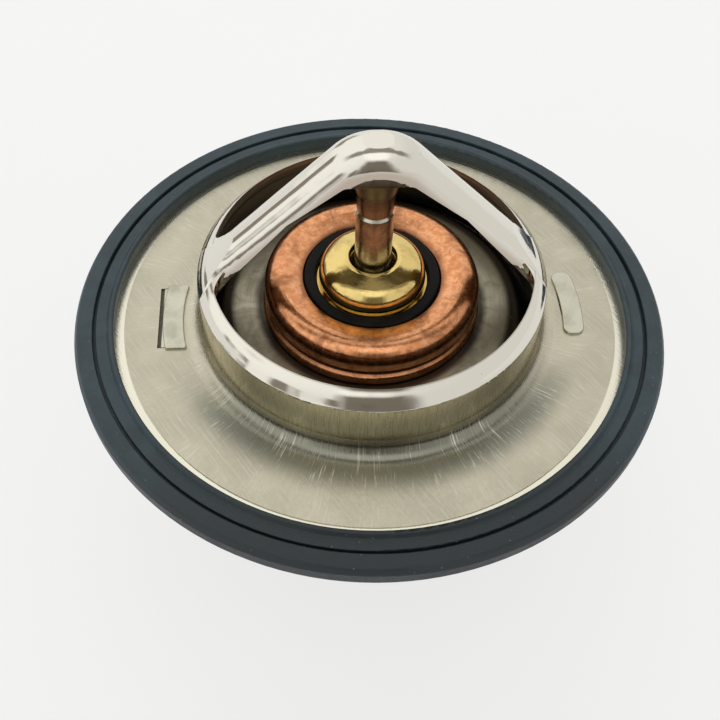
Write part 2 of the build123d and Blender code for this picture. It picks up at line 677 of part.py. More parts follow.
PIECES = {
    "flange_and_bridge": flange_and_bridge,
    "rim_gasket": rim_gasket,
    "piston_pin": piston_pin,
    "lower_frame": lower_frame,
    "wax_cup": wax_cup,
    "brass_guide": brass_guide,
    "seal_ring": seal_ring,
    "backup_washer": backup_washer,
    "rubber_sleeve": rubber_sleeve,
    "wax_charge": wax_charge,
    "valve_disc": valve_disc,
    "bypass_stem": bypass_stem,
    "stem_clip": stem_clip,
    "bypass_disc": bypass_disc,
    "main_spring": main_spring,
    "bypass_spring": bypass_spring,
}


def main():
    """Build every piece and write one file for each."""
    os.makedirs("parts", exist_ok=True)
    for name, build in PIECES.items():
        export_step(build(), f"parts/{name}.step")


main()
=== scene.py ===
"""Looks of the engine thermostat: materials, floor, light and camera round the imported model."""

import math
import random

import bpy
from mathutils import Matrix, Vector


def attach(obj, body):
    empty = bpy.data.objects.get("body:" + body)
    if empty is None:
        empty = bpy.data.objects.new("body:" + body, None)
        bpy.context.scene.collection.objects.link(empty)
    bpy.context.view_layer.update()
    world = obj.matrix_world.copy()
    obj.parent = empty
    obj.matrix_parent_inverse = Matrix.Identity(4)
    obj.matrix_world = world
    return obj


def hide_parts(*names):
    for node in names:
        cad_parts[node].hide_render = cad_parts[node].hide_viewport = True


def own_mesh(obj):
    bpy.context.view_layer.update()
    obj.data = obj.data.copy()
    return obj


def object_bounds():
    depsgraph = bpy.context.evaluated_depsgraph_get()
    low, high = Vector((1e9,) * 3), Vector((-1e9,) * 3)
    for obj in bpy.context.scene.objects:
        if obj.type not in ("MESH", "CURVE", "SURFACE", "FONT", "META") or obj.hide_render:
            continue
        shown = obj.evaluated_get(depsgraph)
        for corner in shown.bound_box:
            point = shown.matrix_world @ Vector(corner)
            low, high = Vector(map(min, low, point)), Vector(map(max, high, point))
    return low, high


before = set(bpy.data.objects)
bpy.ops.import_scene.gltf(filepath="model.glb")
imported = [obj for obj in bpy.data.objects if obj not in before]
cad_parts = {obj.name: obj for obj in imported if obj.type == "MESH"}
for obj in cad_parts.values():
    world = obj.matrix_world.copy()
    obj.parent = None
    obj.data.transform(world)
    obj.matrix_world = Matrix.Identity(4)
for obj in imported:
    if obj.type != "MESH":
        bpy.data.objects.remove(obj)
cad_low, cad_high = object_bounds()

MM = 0.001
chance = random.Random(7)

# ---------------------------------------------------------------- places, in millimetres
CREASE_Z = 7.05
CREASE_SOFT = 0.1
BORE_R = 18.47
RING_RISE = 1.8
LIP_R = 17.85
LIP_Z = (9.0, 8.6)
# Height of the bridge flanks that carry a painted reflection.
FLANK_REFLECTION_Z = (9.0, 10.0)
ROOT_BEND_Z = 0.9
ROOT_BEND_RISE = 1.2
ROOT_BEND_R = 21.4
ROOT_BEND_SOFT = 0.6
ROOT_MARKS_R = (24.0, 20.8)
ROOT_MARKS_Z = (4.0, 1.0)
# Collar root painted darker toward -Y: mostly painted reflection, partly real scuffing.
SCUFF_AND_REFLECTION_R = (25.6, 22.2)
SCUFF_AND_REFLECTION_Y = (-6.0, -16.0)
SPECK_X = (-14.0, -20.0)
SWIPE_TURN = math.radians(58.0)
SWIPE_STRETCH = (0.16, 5.0, 1.0)
RIM_STEP_R = 28.5
# Band of each disc left without painted shade; inside and outside it, shade is painted.
VALVE_UNSHADED_R = (13.2, 15.8)
BYPASS_UNSHADED_R = (2.6, 11.4)
COPPER_MOUTH_R = 7.67
GUIDE_MOUTH_R = 2.6
GUIDE_MOUTH_Z = 9.25
GASKET_GROOVE_IN_R = 31.55
GASKET_GROOVE_OUT_R = 31.9
# Where the gasket gets painted shade toward -Y.
GASKET_SHADE_Y = (-14.0, -30.0)
COPPER_GROOVE_Z = 3.5
BRASS_FOOT_Z = 5.75
SEAT_LINE_R = 19.844
SEAT_LINE_Z = -1.041
SEAT_LINE_PROFILE = [
    (-0.55, -0.05), (0.55, -0.05), (0.55, 0.02), (0.25, 0.37), (0.0, 0.41), (-0.25, 0.36), (-0.55, 0.02),
]
SEAT_LINE_STEPS = 256
# Dark fillers in the tab slots that stand for shade.
SLOT_SHADE_LEFT_X = (-24.55, -24.1)
SLOT_SHADE_RIGHT_X = (22.4, 22.5)
SLOT_SHADE_HALF = 4.5
SLOT_SHADE_LOW = -0.8
SLOT_SHADE_TOP = -0.3
SLOT_SHADE_UNEVEN = 0.06
SLOT_SHADE_STEPS = 40
FLOOR_SIZE = 4000.0

# ---------------------------------------------------------------- colours
FLANGE_COLOR = (0.53, 0.495, 0.385)
FLANGE_SHADE = (0.46, 0.43, 0.33)
DRAW_LINE_COLOR = (0.7, 0.68, 0.59)
# Painted reflection at the collar root toward -Y: the bend tone, and the scuff tone, which is partly real
# scuffing.
BEND_REFLECTION_COLOR = (0.24, 0.235, 0.185)
SCUFF_AND_REFLECTION_COLOR = (0.17, 0.175, 0.145)
WALL_COLOR = (0.76, 0.69, 0.49)
WALL_SHADE = (0.6, 0.53, 0.37)
RIM_COLOR = (0.78, 0.75, 0.62)
POLISHED_COLOR = (0.74, 0.71, 0.63)
# Painted reflection of the copper and the dark disc on the bridge flanks.
FLANK_REFLECTION_COLOR = (0.4, 0.31, 0.24)
# Painted shade inside the collar and on faces turned down.
INSIDE_SHADE_COLOR = (0.26, 0.24, 0.19)
SPECK_COLOR = (0.2, 0.185, 0.14)
PIT_COLOR = (0.1, 0.085, 0.06)
# Painted shade on the discs and in the brass guide's mouth.
DEEP_SHADE_COLOR = (0.035, 0.03, 0.024)
FRAME_COLOR = (0.58, 0.57, 0.46)
FRAME_SHADE = (0.45, 0.43, 0.34)
DISC_COLOR = (0.4, 0.365, 0.275)
DISC_SHADE = (0.26, 0.235, 0.17)
BYPASS_COLOR = (0.56, 0.53, 0.43)
BYPASS_SHADE = (0.44, 0.41, 0.32)
COPPER_COLOR = (0.62, 0.245, 0.1)
COPPER_BRIGHT = (0.84, 0.41, 0.21)
COPPER_BROWN = (0.3, 0.12, 0.055)
COPPER_DARK = (0.1, 0.045, 0.025)
COPPER_EDGE = (0.2, 0.085, 0.045)
BRASS_COLOR = (0.76, 0.58, 0.22)
BRASS_SHADE = (0.52, 0.36, 0.11)
PIN_COLOR = (0.54, 0.5, 0.44)
PIN_SHADE = (0.4, 0.35, 0.29)
STEM_COLOR = (0.56, 0.53, 0.48)
STEM_SHADE = (0.42, 0.38, 0.32)
SPRING_COLOR = (0.42, 0.41, 0.39)
SPRING_SHADE = (0.28, 0.27, 0.25)
RUBBER_COLOR = (0.017, 0.034, 0.043)
RUBBER_BLOOM = (0.032, 0.057, 0.07)
# Painted shade of the gasket.
RUBBER_SHADE_COLOR = (0.008, 0.012, 0.014)
DUST_COLOR = (0.3, 0.31, 0.3)
SEAL_COLOR = (0.004, 0.004, 0.004)
SEAL_BLOOM = (0.011, 0.01, 0.009)
# Painted shade in the tab slots.
SLOT_SHADE_COLOR = (0.1, 0.095, 0.07)
SLOT_SHADE_LIGHTER = (0.16, 0.15, 0.11)
PLASTIC_COLOR = (0.72, 0.7, 0.64)
PLASTIC_SHADE = (0.62, 0.6, 0.54)
WAX_COLOR = (0.5, 0.26, 0.12)
WAX_SHADE = (0.36, 0.17, 0.08)
WAX_POWDER = (0.62, 0.33, 0.2)
PAPER_COLOR = (0.86, 0.86, 0.86)
PAPER_LIGHT = (0.89, 0.89, 0.888)

# ---------------------------------------------------------------- studio
FLOOR_WHITE = (0.985, 0.985, 0.985)
FLOOR_GLOW = 0.66
BACKDROP_COLOR = (0.9, 0.9, 0.9)
ROOM_COLOR = (0.86, 0.85, 0.835)
WINDOW_COLOR = (1.15, 1.15, 1.13)
WINDOW_TURN = math.radians(160.0)
WINDOW_RISE = math.radians(40.0)
WINDOW_OUTER = math.radians(105.0)
WINDOW_INNER = math.radians(15.0)
CEILING_COLOR = (1.3, 1.3, 1.28)
CEILING_RISE = math.radians(68.0)
CEILING_OUTER = math.radians(24.0)
CEILING_INNER = math.radians(10.0)
BEAM_COLOR = (0.2, 0.175, 0.14)
BEAM_SHARE = 0.85
BEAM_EDGES = (-0.2, -0.06, 0.12, 0.24)
BEAM_RISE = (0.5, 0.8)
THINGS_SCALE = 3.0
THINGS_TOP = 0.3
THINGS_SIDE = (0.1, -0.3)
THINGS_SHARE = 0.85
THINGS_COLOR = (0.15, 0.11, 0.08)
PERSON_COLOR = (0.14, 0.115, 0.085)
PERSON_HALF = math.tan(math.radians(21.0))
PERSON_SOFT = 0.15
PERSON_TOP = 0.72
PERSON_EDGE = 0.08
PERSON_SHARE = 0.9

# ---------------------------------------------------------------- camera
CAMERA_TURN = math.radians(-5.5)
CAMERA_ELEVATION = math.radians(52.37)
CAMERA_ROLL = math.radians(2.16)
CAMERA_DISTANCE = 117.34
FOCAL_PIXELS = 1000.0
FRAME_PIXELS = 720.0
ORIGIN_PIXEL = (370.38, 310.34)
SENSOR_WIDTH = 36.0
CLIP_START = 5.0


# ---------------------------------------------------------------- node helpers
class Nodes:
    """Short calls for the shader nodes used here, in one node tree."""

    def __init__(self, tree):
        self.tree = tree

    def put(self, socket, value):
        """Links a socket, or sets a plain value."""
        if isinstance(value, bpy.types.NodeSocket):
            self.tree.links.new(value, socket)
        else:
            socket.default_value = value

    def math(self, operation, first, second=None):
        node = self.tree.nodes.new("ShaderNodeMath")
        node.operation = operation
        for socket, value in zip(node.inputs, (first, second)):
            if value is not None:
                self.put(socket, value)
        return node.outputs[0]

    def times(self, first, second):
        return self.math("MULTIPLY", first, second)

    def plus(self, first, second):
        return self.math("ADD", first, second)

    def vector(self, operation, first, second=None, scale=None):
        node = self.tree.nodes.new("ShaderNodeVectorMath")
        node.operation = operation
        self.put(node.inputs[0], first)
        if second is not None:
            self.put(node.inputs[1], second)
        if scale is not None:
            self.put(node.inputs["Scale"], scale)
        return node.outputs[0]

    def combine(self, x, y, z):
        node = self.tree.nodes.new("ShaderNodeCombineXYZ")
        for socket, value in zip(node.inputs, (x, y, z)):
            self.put(socket, value)
        return node.outputs[0]

    def noise(self, place, scale, detail=3.0, rough=0.5, distortion=0.0):
        node = self.tree.nodes.new("ShaderNodeTexNoise")
        self.put(node.inputs["Vector"], place)
        self.put(node.inputs["Scale"], scale)
        self.put(node.inputs["Detail"], detail)
        self.put(node.inputs["Roughness"], rough)
        self.put(node.inputs["Distortion"], distortion)
        return node.outputs["Fac"]

    def cells(self, place, scale):
        node = self.tree.nodes.new("ShaderNodeTexVoronoi")
        self.put(node.inputs["Vector"], place)
        self.put(node.inputs["Scale"], scale)
        return node.outputs["Distance"]

    def band(self, value, low, high, out_low=0.0, out_high=1.0):
        """Smooth step from out_low to out_high as value goes from low to high."""
        node = self.tree.nodes.new("ShaderNodeMapRange")
        node.interpolation_type = "SMOOTHSTEP"
        for name, setting in (("Value", value), ("From Min", low), ("From Max", high)):
            self.put(node.inputs[name], setting)
        node.inputs["To Min"].default_value = out_low
        node.inputs["To Max"].default_value = out_high
        return node.outputs["Result"]

    def lerp(self, factor, first, second):
        """Plain number between two numbers."""
        node = self.tree.nodes.new("ShaderNodeMix")
        node.data_type = "FLOAT"
        for name, value in zip(("Factor", "A", "B"), (factor, first, second)):
            self.put(node.inputs[name], value)
        return node.outputs[0]

    def mix(self, factor, first, second):
        """Colour between two colours."""
        node = self.tree.nodes.new("ShaderNodeMix")
        node.data_type = "RGBA"
        self.put(node.inputs["Factor"], factor)
        for socket, value in ((node.inputs[6], first), (node.inputs[7], second)):
            if isinstance(value, tuple):
                value = (*value, 1.0)
            self.put(socket, value)
        return node.outputs[2]

    def bump(self, height, distance, normal=None):
        """Bump from a height of 0 to 1, whose full depth is distance in millimetres."""
        node = self.tree.nodes.new("ShaderNodeBump")
        node.inputs["Distance"].default_value = distance * MM
        self.put(node.inputs["Height"], height)
        if normal is not None:
            self.put(node.inputs["Normal"], normal)
        return node.outputs["Normal"]

    def split(self, vector):
        node = self.tree.nodes.new("ShaderNodeSeparateXYZ")
        self.put(node.inputs[0], vector)
        return node.outputs

    def turned(self, vector, angle):
        """Vector turned about Z."""
        node = self.tree.nodes.new("ShaderNodeVectorRotate")
        node.rotation_type = "Z_AXIS"
        self.put(node.inputs["Vector"], vector)
        node.inputs["Angle"].default_value = angle
        return node.outputs["Vector"]

    def closeness(self, direction, centre):
        """Cosine of the angle between two unit directions."""
        node = self.tree.nodes.new("ShaderNodeVectorMath")
        node.operation = "DOT_PRODUCT"
        self.put(node.inputs[0], direction)
        self.put(node.inputs[1], centre)
        return node.outputs["Value"]


class Shade(Nodes):
    """One material, with the place on the part in millimetres round its axis."""

    def __init__(self, name):
        self.material = bpy.data.materials.new(name)
        self.material.use_nodes = True
        super().__init__(self.material.node_tree)
        self.tree.nodes.clear()
        self.output = self.tree.nodes.new("ShaderNodeOutputMaterial")
        self.surface = self.tree.nodes.new("ShaderNodeBsdfPrincipled")
        self.tree.links.new(self.surface.outputs["BSDF"], self.output.inputs["Surface"])
        coordinates = self.tree.nodes.new("ShaderNodeTexCoord")
        self.place = self.vector("SCALE", coordinates.outputs["Object"], scale=1 / MM)
        self.facing = self.split(coordinates.outputs["Normal"])[2]
        self.x, self.y, self.z = self.split(self.place)
        squares = self.plus(self.times(self.x, self.x), self.times(self.y, self.y))
        self.radius = self.math("SQRT", squares)

    def finish(self, color, roughness, metallic=1.0, normal=None, specular=0.5):
        if isinstance(color, tuple):
            color = (*color, 1.0)
        self.put(self.surface.inputs["Base Color"], color)
        self.put(self.surface.inputs["Roughness"], roughness)
        self.surface.inputs["Metallic"].default_value = metallic
        self.surface.inputs["Specular IOR Level"].default_value = specular
        if normal is not None:
            self.put(self.surface.inputs["Normal"], normal)
        return self.material


def paint(node, material):
    """Gives one material to a whole carried-over node."""
    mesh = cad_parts[node].data
    mesh.materials.clear()
    mesh.materials.append(material)


# ---------------------------------------------------------------- metals
def radial_lines(shade, fineness, stretch):
    """Noise drawn out along the radius and the height, so that its lines run away from the axis."""
    turn = shade.vector("NORMALIZE", shade.combine(shade.x, shade.y, 0.0))
    lines = shade.vector("SCALE", turn, scale=fineness)
    along = shade.times(shade.plus(shade.radius, shade.z), stretch)
    return shade.noise(shade.vector("ADD", lines, shade.combine(0.0, 0.0, along)), 1.0, 4.0, 0.6)


def ring_lines(shade, fineness, stretch):
    """Noise drawn out round the axis, as turning and polishing leave it."""
    turn = shade.vector("NORMALIZE", shade.combine(shade.x, shade.y, 0.0))
    slow = shade.vector("SCALE", turn, scale=stretch)
    across = shade.times(shade.plus(shade.radius, shade.z), fineness)
    return shade.noise(shade.vector("ADD", slow, shade.combine(0.0, 0.0, across)), 1.0, 3.0, 0.6)


class StampingShade(Shade):
    """Steel of the flange and bridge, with masks of its regions and the noises that mark it."""

    def __init__(self):
        super().__init__("flange_steel")
        self.polished = self.band(self.z, CREASE_Z - CREASE_SOFT, CREASE_Z + CREASE_SOFT)
        self.wall = self.band(self.z, ROOT_BEND_Z, ROOT_BEND_Z + ROOT_BEND_RISE)
        self.bend = self.band(self.radius, ROOT_BEND_R + ROOT_BEND_SOFT, ROOT_BEND_R - ROOT_BEND_SOFT)
        self.rim = self.band(self.radius, RIM_STEP_R - 0.06, RIM_STEP_R + 0.06)
        # Flanks of the bridge turned away from the sky, where a reflection is painted.
        self.flank_reflection = self.times(self.band(self.facing, 0.5, 0.2), self.band(self.z, *FLANK_REFLECTION_Z))
        self.near_root = self.times(self.band(self.radius, *ROOT_MARKS_R), self.band(self.z, *ROOT_MARKS_Z))
        # Faces turned down and the collar's inner faces, where shade is painted.
        under = self.band(self.facing, 0.05, -0.2)
        bore = self.times(
            self.band(self.radius, BORE_R + 0.3, BORE_R + 0.1), self.band(self.z, CREASE_Z, CREASE_Z - 0.4)
        )
        lip = self.times(self.band(self.radius, LIP_R + 0.12, LIP_R + 0.04), self.band(self.z, *LIP_Z))
        self.inside = self.math("MAXIMUM", self.math("MAXIMUM", under, bore), lip)

        self.grain = self.noise(self.place, 2.2, 5.0, 0.62)
        self.blotch = self.noise(self.place, 0.16, 3.0, 0.5)
        self.draw = radial_lines(self, 150.0, 0.35)
        slanted = self.vector("MULTIPLY", self.turned(self.place, SWIPE_TURN), SWIPE_STRETCH)
        self.swipes = self.noise(slanted, 1.0, 3.0, 0.65)
        marks = self.lerp(self.band(self.blotch, 0.4, 0.6), self.draw, self.swipes)
        self.streaks = self.band(marks, 0.48, 0.72)

    def flange_color(self):
        """Satin flange with brushed streaks and dirt specks.

        Its root is painted darker toward -Y, with pale scratches. In the photograph much of that
        dark is reflection, so it is paint that stands for light.
        """
        satin = self.mix(self.band(self.blotch, 0.35, 0.65), FLANGE_COLOR, FLANGE_SHADE)
        satin = self.mix(self.times(self.streaks, 0.55), satin, DRAW_LINE_COLOR)
        specks = self.times(self.band(self.cells(self.place, 1.5), 0.16, 0.06), self.band(self.x, *SPECK_X))
        satin = self.mix(self.times(self.times(specks, self.near_root), 0.8), satin, SPECK_COLOR)
        # Toward -Y the root is painted darker: mostly painted reflection, partly real scuffing, under real
        # pale scratches.
        reflection_side = self.band(self.y, *SCUFF_AND_REFLECTION_Y)
        scuff_and_reflection = self.times(self.band(self.radius, *SCUFF_AND_REFLECTION_R), self.times(reflection_side, 0.9))
        patch = self.noise(self.place, 0.3, 2.0, 0.5)
        scratches = self.times(self.band(self.draw, 0.54, 0.68), self.band(patch, 0.42, 0.62, 0.1, 0.8))
        satin = self.mix(scuff_and_reflection, satin, self.mix(scratches, SCUFF_AND_REFLECTION_COLOR, DRAW_LINE_COLOR))
        # Painted reflection: the bend is darker toward -Y, with real scratches over it.
        bend_reflection_color = self.mix(reflection_side, FLANGE_COLOR, BEND_REFLECTION_COLOR)
        return self.mix(self.bend, satin, self.mix(scratches, bend_reflection_color, DRAW_LINE_COLOR))

    def color(self):
        wall_color = self.mix(self.band(self.draw, 0.4, 0.66), WALL_COLOR, WALL_SHADE)
        color = self.mix(self.wall, self.flange_color(), wall_color)
        color = self.mix(self.rim, color, RIM_COLOR)
        color = self.mix(self.polished, color, POLISHED_COLOR)
        # Painted reflection on the bridge flanks.
        color = self.mix(self.times(self.flank_reflection, 0.7), color, FLANK_REFLECTION_COLOR)
        # Painted shade inside the collar and on faces turned down.
        color = self.mix(self.inside, color, INSIDE_SHADE_COLOR)
        pits = self.band(self.cells(self.place, 0.55), 0.055, 0.02)
        return self.mix(self.times(pits, 0.35), color, PIT_COLOR)

    def roughness(self):
        rough = self.band(self.grain, 0.3, 0.75, 0.27, 0.37)
        rough = self.plus(rough, self.times(self.streaks, 0.08))
        rough = self.lerp(self.bend, rough, self.band(self.draw, 0.4, 0.7, 0.16, 0.28))
        rough = self.lerp(self.wall, rough, self.band(self.draw, 0.35, 0.7, 0.14, 0.3))
        turned = ring_lines(self, 9.0, 2.0)
        rough = self.lerp(self.rim, rough, self.band(turned, 0.3, 0.7, 0.2, 0.3))
        rough = self.lerp(self.polished, rough, self.band(self.grain, 0.3, 0.8, 0.06, 0.12))
        return self.lerp(self.inside, rough, 0.36)

    def normal(self):
        """Grain and drawing lines below the crease, and above it slow waves and the ring's crown."""
        dull = self.math("SUBTRACT", 1.0, self.polished)
        normal = self.bump(self.times(self.grain, dull), 0.01)
        normal = self.bump(self.times(self.swipes, dull), 0.02, normal)
        normal = self.bump(self.times(self.times(self.draw, dull), self.near_root), 0.04, normal)
        waves = self.times(self.noise(self.place, 0.22, 2.0, 0.4), self.polished)
        normal = self.bump(waves, 0.12, normal)
        up_ring = self.band(self.z, CREASE_Z, CREASE_Z + RING_RISE)
        crown = self.times(up_ring, self.math("SUBTRACT", 1.0, up_ring))
        return self.bump(crown, 0.6, normal)


def stamping_steel():
    """Satin flange with a brighter coined rim, pale scratches and painted reflection at the collar's root
    toward -Y, painted shade inside and on faces turned down, painted reflection on the bridge's flanks, and
    polished ring and bridge.
    """
    shade = StampingShade()
    return shade.finish(shade.color(), shade.roughness(), normal=shade.normal())


def frame_steel():
    """Cold-rolled strip of the lower frame: satin, with rolling lines and a few dull stains."""
    shade = Shade("frame_steel")
    grain = shade.noise(shade.place, 2.5, 5.0, 0.6)
    stains = shade.noise(shade.place, 0.3, 4.0, 0.6)
    rolled = shade.noise(shade.vector("MULTIPLY", shade.place, (0.3, 9.0, 0.3)), 1.0, 3.0, 0.5)
    color = shade.mix(shade.band(stains, 0.4, 0.7), FRAME_COLOR, FRAME_SHADE)
    rough = shade.plus(shade.band(grain, 0.3, 0.7, 0.26, 0.36), shade.band(stains, 0.5, 0.7, 0.0, 0.1))
    normal = shade.bump(grain, 0.008)
    normal = shade.bump(rolled, 0.006, normal=normal)
    return shade.finish(color, rough, normal=normal)


def disc_steel(name, color, shadow, unshaded_r):
    """Drawn sheet of a valve disc: turned satin with pits and stains, and painted shade on both sides of an
    unshaded band.
    """
    shade = Shade(name)
    turned = ring_lines(shade, 6.0, 3.0)
    grain = shade.noise(shade.place, 3.0, 4.0, 0.6)
    stains = shade.noise(shade.place, 0.35, 4.0, 0.65, 0.6)
    pits = shade.band(shade.cells(shade.place, 0.42), 0.07, 0.03)
    base = shade.mix(shade.band(stains, 0.38, 0.68), color, shadow)
    base = shade.mix(shade.band(turned, 0.45, 0.75, 0.0, 0.5), base, shadow)
    unshaded_in, unshaded_out = unshaded_r
    # Painted shade inside and outside the unshaded band.
    film_and_shade = shade.math(
        "MAXIMUM",
        shade.band(shade.radius, unshaded_in + 0.5, unshaded_in - 0.5),
        shade.band(shade.radius, unshaded_out - 0.4, unshaded_out + 0.4),
    )
    base = shade.mix(shade.times(film_and_shade, 0.92), base, DEEP_SHADE_COLOR)
    base = shade.mix(pits, base, PIT_COLOR)
    rough = shade.plus(shade.band(stains, 0.3, 0.7, 0.28, 0.4), shade.band(turned, 0.4, 0.7, 0.0, 0.06))
    normal = shade.bump(turned, 0.01)
    normal = shade.bump(grain, 0.006, normal=normal)
    normal = shade.bump(pits, -0.04, normal=normal)
    return shade.finish(base, rough, normal=normal)


def copper():
    """Rolled copper with a brushed skin, brown heat stains and dark specks, darker in the groove and toward
    the mouth.
    """
    shade = Shade("copper")
    brushed = ring_lines(shade, 11.0, 5.0)
    mottle = shade.noise(shade.place, 1.3, 5.0, 0.68, 0.3)
    stains = shade.noise(shade.place, 0.34, 4.0, 0.6, 0.8)
    specks = shade.band(shade.cells(shade.place, 1.1), 0.1, 0.04)
    groove = shade.band(shade.math("ABSOLUTE", shade.math("SUBTRACT", shade.z, COPPER_GROOVE_Z)), 0.7, 0.0)
    base = shade.mix(shade.band(mottle, 0.36, 0.66), COPPER_COLOR, COPPER_BRIGHT)
    base = shade.mix(shade.band(stains, 0.46, 0.68, 0.0, 0.75), base, COPPER_BROWN)
    # Darker in the groove.
    base = shade.mix(shade.times(groove, 0.75), base, COPPER_DARK)
    base = shade.mix(shade.times(specks, 0.5), base, COPPER_DARK)
    mouth = shade.band(shade.radius, COPPER_MOUTH_R + 0.9, COPPER_MOUTH_R + 0.1)
    base = shade.mix(shade.times(mouth, 0.85), base, COPPER_EDGE)
    rough = shade.band(mottle, 0.3, 0.7, 0.16, 0.26)
    rough = shade.plus(rough, shade.band(stains, 0.45, 0.7, 0.0, 0.1))
    normal = shade.bump(brushed, 0.012)
    normal = shade.bump(mottle, 0.015, normal=normal)
    return shade.finish(base, rough, normal=normal)


def brass():
    """Polished brass with turning lines and faint tarnish, darker toward its foot, with painted shade in the
    mouth round the pin.
    """
    shade = Shade("brass")
    turned = ring_lines(shade, 14.0, 4.0)
    tarnish = shade.noise(shade.place, 0.6, 4.0, 0.6, 0.4)
    # Darker toward the foot.
    low = shade.band(shade.z, BRASS_FOOT_Z + 1.2, BRASS_FOOT_Z)
    base = shade.mix(shade.band(tarnish, 0.45, 0.72, 0.0, 0.6), BRASS_COLOR, BRASS_SHADE)
    base = shade.mix(shade.times(low, 0.6), base, BRASS_SHADE)
    # Painted shade in the mouth round the pin.
    mouth = shade.times(
        shade.band(shade.radius, GUIDE_MOUTH_R + 0.05, GUIDE_MOUTH_R - 0.1),
        shade.band(shade.z, GUIDE_MOUTH_Z + 0.05, GUIDE_MOUTH_Z - 0.2),
    )
    base = shade.mix(shade.times(mouth, 0.9), base, DEEP_SHADE_COLOR)
    rough = shade.plus(shade.band(tarnish, 0.4, 0.7, 0.1, 0.2), shade.band(turned, 0.4, 0.7, 0.0, 0.06))
    normal = shade.bump(turned, 0.006)
    normal = shade.bump(tarnish, 0.03, normal=normal)
    return shade.finish(base, rough, normal=normal)


def pin_steel(name, color, shadow):
    """Ground steel with fine grinding rings and a brown oil film."""
    shade = Shade(name)
    ground = ring_lines(shade, 16.0, 3.0)
    film_and_shade = shade.noise(shade.place, 0.5, 4.0, 0.6, 0.5)
    base = shade.mix(shade.band(film_and_shade, 0.4, 0.7), color, shadow)
    rough = shade.plus(shade.band(film_and_shade, 0.3, 0.7, 0.14, 0.24), shade.band(ground, 0.4, 0.7, 0.0, 0.08))
    normal = shade.bump(ground, 0.006)
    return shade.finish(base, rough, normal=normal)


def spring_steel(name):
    """Drawn wire: dark satin with die lines and rubbed patches."""
    shade = Shade(name)
    drawn = shade.noise(shade.place, 4.0, 4.0, 0.7)
    rubbed = shade.noise(shade.place, 0.5, 3.0, 0.6)
    base = shade.mix(shade.band(rubbed, 0.42, 0.68), SPRING_COLOR, SPRING_SHADE)
    rough = shade.plus(shade.band(rubbed, 0.4, 0.7, 0.22, 0.34), shade.band(drawn, 0.4, 0.7, 0.0, 0.08))
    normal = shade.bump(drawn, 0.012)
    return shade.finish(base, rough, normal=normal)


# ---------------------------------------------------------------- rubber, plastic and wax
def gasket_rubber():
    """Moulded rubber: blue-grey bloom and pale dust specks, with painted shade toward -Y and in the groove.
    """
    shade = Shade("gasket_rubber")
    grain = shade.noise(shade.place, 3.2, 4.0, 0.6)
    bloom = shade.noise(shade.place, 0.22, 4.0, 0.6, 0.5)
    dust = shade.band(shade.cells(shade.place, 0.9), 0.075, 0.035)
    fine_dust = shade.band(shade.cells(shade.place, 2.3), 0.09, 0.04)
    drawn = ring_lines(shade, 3.0, 6.0)
    groove = shade.times(
        shade.band(shade.radius, GASKET_GROOVE_IN_R - 0.05, GASKET_GROOVE_IN_R + 0.05),
        shade.band(shade.radius, GASKET_GROOVE_OUT_R + 0.05, GASKET_GROOVE_OUT_R - 0.05),
    )
    base = shade.mix(shade.band(bloom, 0.38, 0.66), RUBBER_COLOR, RUBBER_BLOOM)
    base = shade.mix(shade.band(drawn, 0.52, 0.78, 0.0, 0.45), base, RUBBER_BLOOM)
    # Painted shade toward -Y.
    base = shade.mix(shade.band(shade.y, *GASKET_SHADE_Y, 0.0, 0.75), base, RUBBER_SHADE_COLOR)
    # Painted shade in the groove.
    base = shade.mix(shade.times(groove, 0.4), base, RUBBER_SHADE_COLOR)
    base = shade.mix(shade.times(dust, 0.55), base, DUST_COLOR)
    base = shade.mix(shade.times(fine_dust, 0.22), base, DUST_COLOR)
    rough = shade.plus(shade.band(bloom, 0.3, 0.7, 0.4, 0.54), shade.band(grain, 0.4, 0.7, 0.0, 0.08))
    normal = shade.bump(grain, 0.02)
    return shade.finish(base, rough, 0.0, normal)


def black_rubber(name):
    """Plain black rubber of the seal and the sleeve."""
    shade = Shade(name)
    grain = shade.noise(shade.place, 3.0, 4.0, 0.6)
    oil = shade.noise(shade.place, 0.6, 3.0, 0.5)
    base = shade.mix(shade.band(oil, 0.4, 0.7), SEAL_COLOR, SEAL_BLOOM)
    rough = shade.band(oil, 0.3, 0.7, 0.32, 0.55)
    return shade.finish(base, rough, 0.0, shade.bump(grain, 0.02), 0.1)


def washer_plastic():
    """Off-white fluoroplastic with a faint machining grain."""
    shade = Shade("washer_plastic")
    turned = ring_lines(shade, 8.0, 3.0)
    base = shade.mix(shade.band(turned, 0.4, 0.7), PLASTIC_COLOR, PLASTIC_SHADE)
    return shade.finish(base, shade.band(turned, 0.3, 0.7, 0.38, 0.5), 0.0, shade.bump(turned, 0.01))


def filled_wax():
    """Amber wax loaded with copper powder."""
    shade = Shade("wax")
    powder = shade.band(shade.cells(shade.place, 4.0), 0.25, 0.1)
    cloud = shade.noise(shade.place, 0.5, 4.0, 0.6)
    base = shade.mix(shade.band(cloud, 0.35, 0.7), WAX_COLOR, WAX_SHADE)
    base = shade.mix(powder, base, WAX_POWDER)
    return shade.finish(base, shade.band(cloud, 0.3, 0.7, 0.4, 0.6), 0.0, shade.bump(cloud, 0.05))


# ---------------------------------------------------------------- springs
def soft_spring(node, material, body):
    """Stands for a solid spring with a copy that has its own mesh and rides on the given body."""
    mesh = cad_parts[node].data.copy()
    mesh.materials.clear()
    mesh.materials.append(material)
    spring = bpy.data.objects.new(f"{node}_coil", mesh)
    bpy.context.scene.collection.objects.link(spring)
    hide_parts(node)
    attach(spring, body)
    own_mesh(spring)


